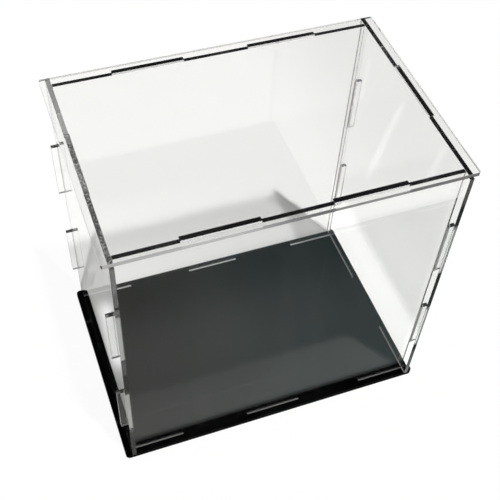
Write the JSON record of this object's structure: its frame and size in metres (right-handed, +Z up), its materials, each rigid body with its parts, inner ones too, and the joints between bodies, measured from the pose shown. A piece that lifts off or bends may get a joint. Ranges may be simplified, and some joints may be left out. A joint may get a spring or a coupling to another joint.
{
  "type": "acrylic display case",
  "caption": "Clear acrylic display case with a black base, made of flat slotted panels that plug together; the cover and the top panel lift off.",
  "frame": {"origin": "on the supporting surface, under the middle of the base", "axes": "+Z up, -Y the front, +X along the case's longer side to the right as seen from the front"},
  "size_m": [0.312, 0.214, 0.305],
  "materials": {
    "black_acrylic": "polished black cast acrylic sheet",
    "clear_acrylic": "polished clear cast acrylic sheet with laser-cut edges"
  },
  "bodies": {
    "base": {"base_panel": "black_acrylic"},
    "cover": {"front_wall": "clear_acrylic", "rear_wall": "clear_acrylic", "left_wall": "clear_acrylic", "right_wall": "clear_acrylic"},
    "lid": {"top_panel": "clear_acrylic"}
  },
  "joints": [
    {"name": "cover_lift", "type": "slide", "parent": "base", "child": "cover", "axis": [0, 0, 1], "range_m": [0, 0.31]},
    {"name": "lid_lift", "type": "slide", "parent": "cover", "child": "lid", "axis": [0, 0, 1], "range_m": [0, 0.06]}
  ]
}
